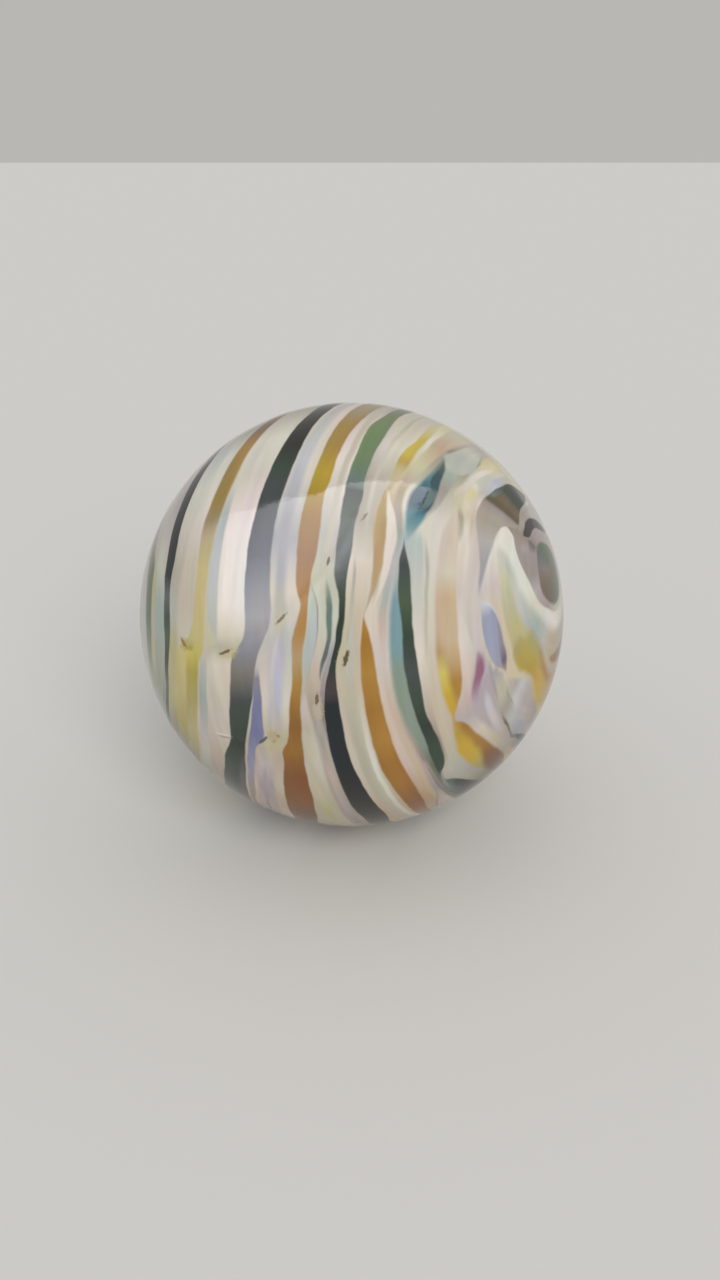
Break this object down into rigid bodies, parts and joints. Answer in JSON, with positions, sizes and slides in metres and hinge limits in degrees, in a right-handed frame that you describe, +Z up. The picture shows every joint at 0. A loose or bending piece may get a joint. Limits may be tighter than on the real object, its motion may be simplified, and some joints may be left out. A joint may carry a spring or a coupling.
{
  "type": "glass marble",
  "caption": "Solid glass ball of opaque wavy ribbons in cream, amber, green, teal and near black, wound round a leaning axis with a fold at one end.",
  "frame": {"origin": "centre of the ball", "axes": "+Z up, as the marble sits in its display ring; -Y is the front, which shows the ribbons; the fold end of the swirl's axis points to +X, turned 21 degrees towards the front and lifted 9 degrees"},
  "size_m": [0.038, 0.038, 0.038],
  "materials": {
    "swirled_glass": "opaque ribbons of cream, amber, olive, teal, lilac and near black under a fire-polished gloss"
  },
  "bodies": {
    "root": {"marble": "swirled_glass"}
  },
  "joints": []
}
